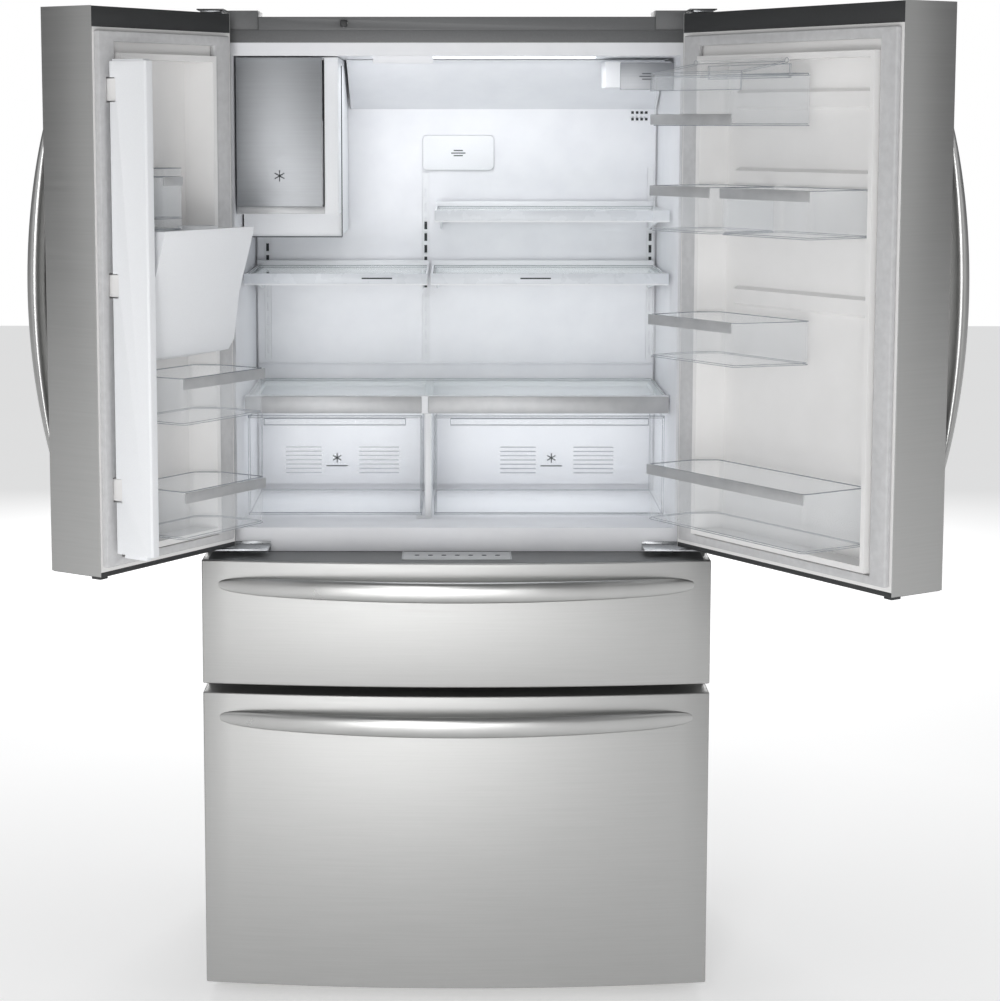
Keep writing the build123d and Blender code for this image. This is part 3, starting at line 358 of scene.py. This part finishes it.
def repeated(name, tree, material, body, start, size, across=1, step_across=(0, 0, 0), up=1,
             step_up=(0, 0, 0), turn=(0, 0, 0), side=None):
    """A grid of studs or slats as one piece; lengths in millimetres, turn in degrees."""
    maker = bpy.data.objects.new(name, bpy.data.meshes.new(name))
    bpy.context.scene.collection.objects.link(maker)
    grid = maker.modifiers.new("grid", "NODES")
    grid.node_group = tree
    values = {"Across": across, "Up": up, "Start": [v * MM for v in start], "Size": [v * MM for v in size],
              "Step Across": [v * MM for v in step_across], "Step Up": [v * MM for v in step_up],
              "Turn": [math.radians(v) for v in turn], "Material": material}
    for item in tree.interface.items_tree:
        if item.item_type == "SOCKET" and item.in_out == "INPUT":
            grid[item.identifier] = values[item.name]
    made = bpy.data.meshes.new_from_object(maker.evaluated_get(bpy.context.evaluated_depsgraph_get()))
    bpy.data.objects.remove(maker)
    made.transform(swung(side))
    return settle(name, shaded(made), body, material)


def strokes(name, centre, lines, width, body, material=PRINT, y_lift=0.35, side=None):
    """A small raised sign of straight strokes on an upright face that looks along -Y."""
    bm = bmesh.new()
    for (u0, v0), (u1, v1) in lines:
        along = Vector((u1 - u0, 0, v1 - v0))
        middle = Vector((centre[0] + (u0 + u1) / 2, centre[1], centre[2] + (v0 + v1) / 2)) * MM
        turn = Matrix.Rotation(-math.atan2(along.z, along.x), 4, "Y")
        size = Matrix.Diagonal((along.length * MM, y_lift * MM, width * MM, 1))
        bmesh.ops.create_cube(bm, size=1.0, matrix=swung(side) @ Matrix.Translation(middle) @ turn @ size)
    mesh = bpy.data.meshes.new(name)
    bm.to_mesh(mesh)
    bm.free()
    return settle(name, mesh, body, material)


def star(reach):
    """Three crossing strokes, a frost sign."""
    turns = [math.radians(30 + 60 * i) for i in range(3)]
    return [((-reach * math.cos(t), -reach * math.sin(t)), (reach * math.cos(t), reach * math.sin(t)))
            for t in turns]


LEVEL_BARS = [((-9, 5), (9, 5)), ((-14, 0), (14, 0)), ((-9, -5), (9, -5))]


# ---- finishes for the nodes whose shape already is right -----------------------------------
KEPT = {
    "foam_insulation": FOAM, "shelf_glass": SHELF_GLASS, "compressor": BLACK_ENAMEL,
    "condenser": BLACK_ENAMEL, "evaporator": ALUMINIUM, "ice_mould": ALUMINIUM, "water_valve": WHITE_ABS,
    "cord_gland": BLACK_PP, "condenser_fan": BLACK_PP, "evaporator_fan": BLACK_PP,
    "left_roller": BLACK_PP, "right_roller": BLACK_PP, "levelling_legs": BLACK_PP,
    "hinge_screws": PLATED, "fan_shroud": GALVANISED, "back_covers": GALVANISED,
    "base_frame": GALVANISED, "drawer_rails": PLATED, "shelf_ladders": WHITE_ABS,
    "fresh_food_liner": LINER, "drawer_liners": LINER, "dispenser_paddle": PIANO_BLACK,
    "dispenser_bezel": PIANO_BLACK, "evaporator_cover": LINER, "toe_grille": BLACK_PP,
    "left_door_bins": CLEAR_BIN, "right_door_bins": CLEAR_BIN, "dairy_lid": CLEAR_BIN,
    "left_crisper": CLEAR_BIN, "right_crisper": CLEAR_BIN, "freezer_basket": PLATED,
    "ice_maker_box": WHITE_ABS, "middle_drawer_tub": WHITE_ABS, "freezer_tub": WHITE_ABS,
    "air_duct_panel": LINER,
    "left_door_liner": DOOR_LINER, "right_door_liner": DOOR_LINER,
}
for node, material in KEPT.items():
    kept = frame["nodes"][node].data
    kept.materials.clear()
    kept.materials.append(material)

# Folded sheet and mouldings, with the rounded edges they really have.
softened("case_shell", CASE_PAINT, 0.5)
softened("left_door_panel", STAINLESS, 0.5)
softened("right_door_panel", STAINLESS, 0.5)
softened("left_door_caps", CHARCOAL_ABS, 1.0)
softened("right_door_caps", CHARCOAL_ABS, 1.0)
softened("left_door_gasket", SEAL, 3.0, 3)
softened("right_door_gasket", SEAL, 3.0, 3)
softened("middle_drawer_front", STAINLESS, 2.5, 4)
softened("freezer_drawer_front", STAINLESS, 2.5, 4)
softened("top_cover", DARK_GREY_ABS, 1.0)
softened("hinge_brackets", PLATED, 1.0)
softened("dispenser_housing", WHITE_ABS, 2.0, 3)
softened("flipper_mullion", WHITE_ABS, 1.5, 3)
softened("shelf_frames", WHITE_ABS, 1.2)
softened("crisper_frame", WHITE_ABS, 1.0)
softened("air_filter_cover", WHITE_ABS, 1.2)
softened("door_switch", CHARCOAL_ABS, 0.8)

# ---- handles -------------------------------------------------------------------------------
DOOR_GRIP_Z = 1304
for body in ("middle_drawer", "freezer_drawer"):
    node = body + "_handle"
    low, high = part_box(node)
    level = (low.z + high.z) / 2 / MM
    bow_bar(node + "_bar", lambda at, out, across, z=level: (at, out, z + across), reach=426, skin=bow,
            crown=-85.6, depth=19, half=18.5, body=body, node=node)
for side, centre in (("left", -124), ("right", -65)):
    face = bow(centre)
    bow_bar(side + "_door_handle_bar", lambda at, out, across, x=centre: (x + across, out, DOOR_GRIP_Z + at),
            reach=324, skin=lambda at, y=face: y, crown=face - 60, depth=25, half=18, body=side + "_door",
            node=side + "_door_handle", side=side)

# ---- drawer fronts: inner panel, seal, top cap and control strip ---------------------------
FRONTS = {"middle_drawer": (591.9, 815.7), "freezer_drawer": (38, 576)}   # bottom and top
SEAL_Y = (80, 88.5)
for body, (low, high) in FRONTS.items():
    blocks(body + "_inner_panel", [((-440, 440), (78.5, 80.5), (low + 10, high - 10))], WHITE_ABS, body)
    edge = [((-437, 437), SEAL_Y, (high - 34, high - 20)), ((-437, 437), SEAL_Y, (low + 14, low + 28)),
            ((-437, -423), SEAL_Y, (low + 28, high - 34)), ((423, 437), SEAL_Y, (low + 28, high - 34))]
    blocks(body + "_seal", edge, SEAL, body, round_mm=2.5)
cap = [(x, bow(x, 4)) for x in range(-440, 441, 40)]
skin_of_rings("middle_drawer_cap", [[(x, y, z) for x, y in cap] + [(440, 76, z), (-440, 76, z)]
                                    for z in (815.2, 816.4)], DARK_GREY_ABS, "middle_drawer")
blocks("control_strip", [((-97, 99), (-2, 72), (816, 817.6))], GREY_ABS, "middle_drawer")
blocks("control_border", [((-97, 99), (-4, -1), (816, 818.2)), ((-97, -94), (-4, 72), (816, 818.2)),
                          ((96, 99), (-4, 72), (816, 818.2))], SILVER_TRIM, "middle_drawer")
repeated("control_keys", STUDS, PRINT, "middle_drawer", (-70, 36, 817.8), (9, 9, 0.8),
         across=7, step_across=(24, 0, 0))

# ---- case front ----------------------------------------------------------------------------
# The bands stay behind the gaskets' faces, so that the shut doors clear them.
BAND_Y = (90.1, 91.3)
blocks("flange_band_top", [((-449, 449), BAND_Y, (1727, 1748))], DARK_GREY_ABS, "cabinet",
       round_mm=0.4)
blocks("flange_bands_side", [((-451, -421), BAND_Y, (830, 1727)), ((421, 451), BAND_Y, (830, 1727))],
       GREY_ABS, "cabinet", round_mm=0.4)
blocks("light_lens", [((-150, 250), (150, 180), (1701.2, 1703.6))], LIT_LENS, "cabinet")
blocks("switch_plug", [((-205, -193), (87, 88.2), (1754, 1766))], CHARCOAL_ABS, "cabinet",
       round_mm=0.4)

# ---- fresh food room -----------------------------------------------------------------------
ladder_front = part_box("shelf_ladders")[0].y / MM
# Painted shadow: the ladders' slots are thin dark sheets on the ladders' face.
for name, x, low, rows in (("left", -372, 1296, 3), ("middle", -59.5, 1270, 6), ("right", 383, 1270, 6)):
    repeated("ladder_slot_shadows_" + name, SLATS, PAINTED_SLOT_SHADOW, "cabinet",
             (x, ladder_front - 0.1, low), (5.5, 0.8, 15), up=rows, step_up=(0, 0, 23))
# Painted shadow: the back wall's vents are thin dark sheets, not openings.
repeated("air_vent_shadows", SLATS, PAINTED_SLOT_SHADOW, "cabinet", (346, 529.8, 1593), (5, 0.8, 5),
         across=4, step_across=(9, 0, 0), up=2, step_up=(0, 0, 13))
# Painted shadow: the shelves' vent slots are thin dark sheets.
for side, x in (("left", -146), ("right", 146)):
    repeated("shelf_vent_shadows_" + side, SLATS, PAINTED_SLOT_SHADOW, "cabinet", (x, 209.3, 1302),
             (56, 0.8, 2.4))
LIP_Y, TRIM_Y, LOW_LIP_Z, COVER_Z = (209.5, 212.3), (208.5, 212.3), (1292, 1311), (1052, 1083)
blocks("low_shelf_lips", [((-391, -54), LIP_Y, LOW_LIP_Z), ((-46, 391), LIP_Y, LOW_LIP_Z),
                          ((-39, 391), LIP_Y, (1408, 1427))], PEARL_ABS, "cabinet",
       round_mm=1.0)
blocks("crisper_trim", [((-391, -64), TRIM_Y, COVER_Z), ((-52, 393), TRIM_Y, COVER_Z)],
       SILVER_TRIM, "cabinet", round_mm=1.5)
# Painted shade: the filter's plate takes the darkened steel colour.
blocks("filter_plate", [((298, 396), (209.5, 214), (1646, 1695))], PLATE_PAINTED_SHADE, "cabinet",
       round_mm=1.5)
softened("water_filter", WHITE_ABS, 4.0, 4)
strokes("filter_sign", (347, 209.4, 1670), LEVEL_BARS, 2.2, "cabinet")
strokes("air_filter_sign", (4.5, 523.8, 1527), LEVEL_BARS, 2.2, "cabinet")
blocks("duct_bands", [((-392, 392), (527.5, 531), (1628, 1634)), ((-392, 392), (527.5, 531), (1110, 1114))],
       LINER, "cabinet", round_mm=1.2)

# ---- crispers ------------------------------------------------------------------------------
# The crispers' ribs below are grey slats in the painted edge shade of the clear plastic.
for side, x0, x1 in (("left", -385, -65), ("right", -39, 385)):
    body, middle = "crisper_" + side, (x0 + x1) / 2
    blocks(side + "_crisper_pull", [((x0 + 32, x1 - 32), (206, 208.5), (1030, 1041))], CLEAR_BIN, body)
    strokes(side + "_crisper_sign", (middle + 4, 213.8, 968), star(9) + [((-20, -15), (20, -15))], 2.2, body)
    for block, offset, wide in (("near", -58, 66), ("far", 82, 74)):
        repeated(side + "_crisper_ribs_" + block, SLATS, PAINTED_EDGE_SHADE, body,
                 (middle + offset, 213.7, 940), (wide, 0.7, 2), up=7, step_up=(0, 0, 8))

# ---- ice maker -----------------------------------------------------------------------------
# Painted shade: the ice bin's front takes the darkened steel colour.
blocks("ice_bin_front", [((-393, -239), (108.4, 111.5), (1437, 1702))], PLATE_PAINTED_SHADE, "ice_bucket",
       round_mm=2.0)
softened("ice_bin", WHITE_ABS, 1.0)
strokes("ice_sign", (-316, 108.3, 1492), star(10), 2.0, "ice_bucket")
# Painted shadow: thin dark sheets in the gaps round the ice maker box.
blocks("ice_box_seam_shadow", [((-211.9, -210.4), (246, 250), (1377, 1690)),
                        ((-392, -211), (246, 250), (1375.6, 1377.2)),
                        ((-237.5, -236), (122.6, 124.2), (1438, 1700))], PAINTED_SLOT_SHADOW, "cabinet",
       round_mm=0)
blocks("ice_box_trim", [((-394, -236), (121.5, 124.5), (1424, 1437))], SILVER_TRIM, "cabinet")

# ---- door bins' silver lips ----------------------------------------------------------------
RIGHT_LIPS = ((-14, 387, 1000, 199), (169, 387, 1260, 199), (229, 387, 1480, 199), (-12, 205, 1480, 196),
              (176, 387, 1600, 199))
blocks("right_bin_lips",
       [((x0, x1), (y - 0.5, y + 2.5), (top - 17, top + 0.6)) for x0, x1, top, y in RIGHT_LIPS],
       SILVER_TRIM, "right_door", side="right", round_mm=1.0)
LEFT_LIPS = ((-387, -172, 976), (-387, -172, 1166))
blocks("left_bin_lips", [((x0, x1), (198.5, 201.5), (top - 17, top + 0.6)) for x0, x1, top in LEFT_LIPS],
       SILVER_TRIM, "left_door", side="left", round_mm=1.0)

blocks("small_bin_lip", [((-203, -156), (174.5, 178), (1484, 1498.6))], SILVER_TRIM, "left_door",
       side="left", round_mm=0.8)

# ---- the painted line of shade round the clear mouldings -----------------------------------
beads = bpy.data.node_groups.new("bead along sharp edges", "GeometryNodeTree")
beads.interface.new_socket("Geometry", in_out="INPUT", socket_type="NodeSocketGeometry")
beads.interface.new_socket("Thickness", in_out="INPUT", socket_type="NodeSocketFloat")
beads.interface.new_socket("Sharpness", in_out="INPUT", socket_type="NodeSocketFloat")
beads.interface.new_socket("Material", in_out="INPUT", socket_type="NodeSocketMaterial")
beads.interface.new_socket("Geometry", in_out="OUTPUT", socket_type="NodeSocketGeometry")
given = add(beads, "NodeGroupInput").outputs
turn = add(beads, "GeometryNodeInputMeshEdgeAngle").outputs["Unsigned Angle"]
sharp = add(beads, "FunctionNodeCompare", {"A": turn, "B": given["Sharpness"]}, operation="GREATER_THAN")
lines = add(beads, "GeometryNodeMeshToCurve", {"Mesh": given["Geometry"], "Selection": sharp.outputs[0]})
wire = add(beads, "GeometryNodeCurvePrimitiveCircle", {"Resolution": 5, "Radius": given["Thickness"]})
tubes = add(beads, "GeometryNodeCurveToMesh",
            {"Curve": lines.outputs["Curve"], "Profile Curve": wire.outputs["Curve"], "Fill Caps": True})
real = add(beads, "GeometryNodeRealizeInstances", {"Geometry": tubes.outputs["Mesh"]})
coated = add(beads, "GeometryNodeSetMaterial",
             {"Geometry": real.outputs["Geometry"], "Material": given["Material"]})
add(beads, "NodeGroupOutput", {"Geometry": coated.outputs["Geometry"]})


def edge_lines(node, thickness_mm):
    """Fine lines of painted shade along a clear node's edges, riding with it."""
    bm = bmesh.new()
    bm.from_mesh(frame["nodes"][node].data)
    bmesh.ops.remove_doubles(bm, verts=bm.verts, dist=0.00002)
    bmesh.ops.dissolve_limit(bm, angle_limit=math.radians(0.6), verts=bm.verts, edges=bm.edges)
    mesh = bpy.data.meshes.new(node + "_merged")
    bm.to_mesh(mesh)
    bm.free()
    maker = bpy.data.objects.new(node + "_merged", mesh)
    bpy.context.scene.collection.objects.link(maker)
    lines = maker.modifiers.new("lines", "NODES")
    lines.node_group = beads
    values = {"Thickness": thickness_mm * MM, "Sharpness": math.radians(50), "Material": PAINTED_EDGE_SHADE}
    for item in beads.interface.items_tree:
        if item.in_out == "INPUT" and item.name in values:
            lines[item.identifier] = values[item.name]
    made = bpy.data.meshes.new_from_object(maker.evaluated_get(bpy.context.evaluated_depsgraph_get()))
    bpy.data.objects.remove(maker)
    return settle(node + "_lines", shaded(made, 80), BODY_OF[node], PAINTED_EDGE_SHADE)


for node, thickness_mm in (("right_door_bins", 0.7), ("left_door_bins", 0.7), ("dairy_lid", 0.6),
                           ("left_crisper", 0.6), ("right_crisper", 0.6), ("shelf_glass", 0.5)):
    edge_lines(node, thickness_mm)

# ---- dispenser keys on the left door's face ------------------------------------------------
repeated("dispenser_keys", STUDS, PRINT, "left_door", (-355, bow(-355) - 2.6, 1450),
         (13, 13, 1), across=6, step_across=(28, (bow(-215) - bow(-355)) / 5, 0), turn=(90, 0, 0),
         side="left")
blocks("dispenser_border", [((-387, -183), (bow(-285) - 2.2, bow(-285) + 8), (1500, 1503)),
                            ((-387, -183), (bow(-285) - 2.2, bow(-285) + 8), (1097, 1100))], SILVER_TRIM,
       "left_door", side="left", round_mm=0.8)

# ---- back of the case ----------------------------------------------------------------------
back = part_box("case_shell")[1].y / MM
for name, z in (("low", 80), ("middle", 250), ("high", 1735)):
    repeated("back_screws_" + name, STUDS, PLATED, "cabinet", (-435, back - 0.4, z),
             (9, 9, 1.6), across=8, step_across=(124.2, 0, 0), turn=(90, 0, 0))

# ---- floor, light and camera ---------------------------------------------------------------
# A flat pale floor, open on every side.  Beyond the object it glows by distance alone, the same
# way all round, so that it runs into the white surroundings from any angle.
FLOOR_HALF = 14.0
GLOW_STARTS, GLOW_FULL = 0.35, 1.9
GLOW_NEAR, GLOW_FAR = 0.38, 0.52
PALE_FLOOR = finish("plain pale floor", "#fafafa", "#f8f8f8", (600, 600, 600), (0.75, 0.85), 0.001)
sheet = PALE_FLOOR.node_tree
distance = add(sheet, "ShaderNodeVectorMath", {0: add(sheet, "ShaderNodeTexCoord").outputs["Object"]},
               operation="LENGTH").outputs["Value"]
glow = add(sheet, "ShaderNodeMapRange", {"Value": distance, "From Min": GLOW_STARTS, "From Max": GLOW_FULL,
                                         "To Min": GLOW_NEAR, "To Max": GLOW_FAR})
sheet.links.new(glow.outputs["Result"], sheet.nodes["Principled BSDF"].inputs["Emission Strength"])
sheet.nodes["Principled BSDF"].inputs["Emission Color"].default_value = linear("#ffffff")
floor_mesh = bpy.data.meshes.new("floor")
corners = [(FLOOR_HALF * x, FLOOR_HALF * y, 0) for x, y in ((-1, -1), (1, -1), (1, 1), (-1, 1))]
floor_mesh.from_pydata(corners, [], [(0, 1, 2, 3)])
floor = bpy.data.objects.new("floor", floor_mesh)
floor.data.materials.append(PALE_FLOOR)
bpy.context.scene.collection.objects.link(floor)


def soft_light(name, place, aim, size, power, colour="#ffffff"):
    lamp = bpy.data.lights.new(name, "AREA")
    lamp.shape = "RECTANGLE"
    lamp.size, lamp.size_y = size
    lamp.energy = power
    lamp.color = linear(colour)[:3]
    holder = bpy.data.objects.new(name, lamp)
    holder.location = place
    holder.rotation_euler = (Vector(aim) - Vector(place)).to_track_quat("-Z", "Z").to_euler()
    bpy.context.scene.collection.objects.link(holder)
    return holder


soft_light("front box", (-0.75, -5.2, 1.9), (-0.1, 0, 0.8), (0.9, 3.8), 56)
soft_light("left box", (-3.8, -2.6, 2.4), (0, 0.2, 1.2), (2.4, 3.0), 13)
soft_light("right box", (3.8, -2.6, 2.4), (0, 0.2, 1.2), (2.4, 3.0), 13)
soft_light("low box", (-0.3, -3.0, 0.5), (0, 0, 0.2), (2.2, 0.8), 16)
soft_light("back box", (0, 5.2, 2.4), (0, 0.4, 1.0), (3.0, 2.4), 90)
# The room's strip lies between the ice maker and the water filter, inside neither.
soft_light("room strip", (0.03, 0.30, 1.695), (0.03, 0.32, 1.0), (0.44, 0.26), 0.88)
soft_light("shelf strip", (0.0, 0.26, 1.288), (0.0, 0.5, 0.9), (0.70, 0.08), 0.16)
soft_light("crisper strip", (0.0, 0.36, 1.060), (0.0, 0.36, 0.5), (0.70, 0.20), 0.60)

# Light passes every wall of the clear bins, even where several stand one behind another.
bpy.context.scene.cycles.transparent_max_bounces = 32
# Plain sRGB, so that whites stay white.
bpy.context.scene.view_settings.view_transform = "Standard"
world = bpy.data.worlds.new("studio")
bpy.context.scene.world = world
world.use_nodes = True
room = world.node_tree
room.nodes["Background"].inputs["Color"].default_value = linear("#e6e7e8")
room.nodes["Background"].inputs["Strength"].default_value = 0.27
# The surroundings look white all round, and light the object only softly.
white = add(room, "ShaderNodeBackground", {"Color": linear("#ffffff"), "Strength": 1.0})
seen = add(room, "ShaderNodeMixShader", {0: add(room, "ShaderNodeLightPath").outputs["Is Camera Ray"],
                                         1: room.nodes["Background"].outputs[0], 2: white.outputs[0]})
room.links.new(seen.outputs[0], room.nodes["World Output"].inputs["Surface"])

camera = bpy.data.objects.new("camera", bpy.data.cameras.new("camera"))
camera.location = (-0.0087, -4.0419, 1.5886)
camera.rotation_euler = (math.pi / 2 - 0.120, 0, 0.005)
camera.data.lens = 83.2
camera.data.shift_x = 0.060
camera.data.shift_y = -0.100
bpy.context.scene.collection.objects.link(camera)
bpy.context.scene.camera = camera
